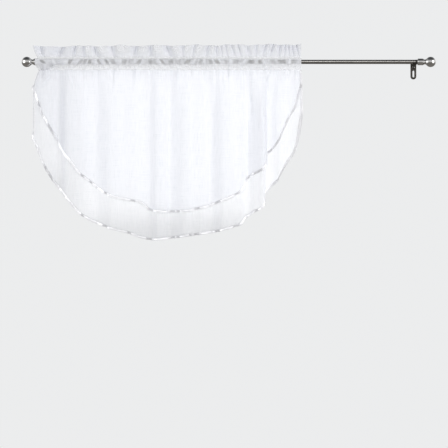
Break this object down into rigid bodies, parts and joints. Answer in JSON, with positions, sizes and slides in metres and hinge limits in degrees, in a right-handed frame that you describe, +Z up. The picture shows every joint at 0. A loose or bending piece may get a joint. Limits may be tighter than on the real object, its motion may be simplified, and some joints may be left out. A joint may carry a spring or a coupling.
{
  "type": "ascot valance on a curtain rod",
  "caption": "Sheer ascot valance with half-round tiers, ribbon-bound hems and a ruffled rod-pocket heading, gathered on a curtain rod with ball finials and wall brackets.",
  "frame": {"origin": "on the wall at the height of the rod's axis, at the middle of the left bracket's plate", "axes": "+X along the rod to the right as seen from the room, +Y into the wall, +Z up"},
  "size_m": [1.2945, 0.0808, 0.6095],
  "materials": {
    "voile": "sheer plain weave",
    "satin_ribbon": "satin",
    "rod_metal": "satin pewter",
    "finial_metal": "polished nickel",
    "bracket_metal": "satin dark pewter",
    "screw_metal": "plain"
  },
  "bodies": {
    "root": {"heading": "voile", "front_tier": "voile", "back_tier": "voile", "front_ribbon": "satin_ribbon", "back_ribbon": "satin_ribbon", "rod_outer_tube": "rod_metal", "rod_inner_tube": "rod_metal", "end_cap_left": "finial_metal", "finial_left": "finial_metal", "end_cap_right": "finial_metal", "finial_right": "finial_metal", "bracket_left": "bracket_metal", "wall_screw_left": "screw_metal", "bracket_right": "bracket_metal", "wall_screw_right": "screw_metal"}
  },
  "joints": []
}
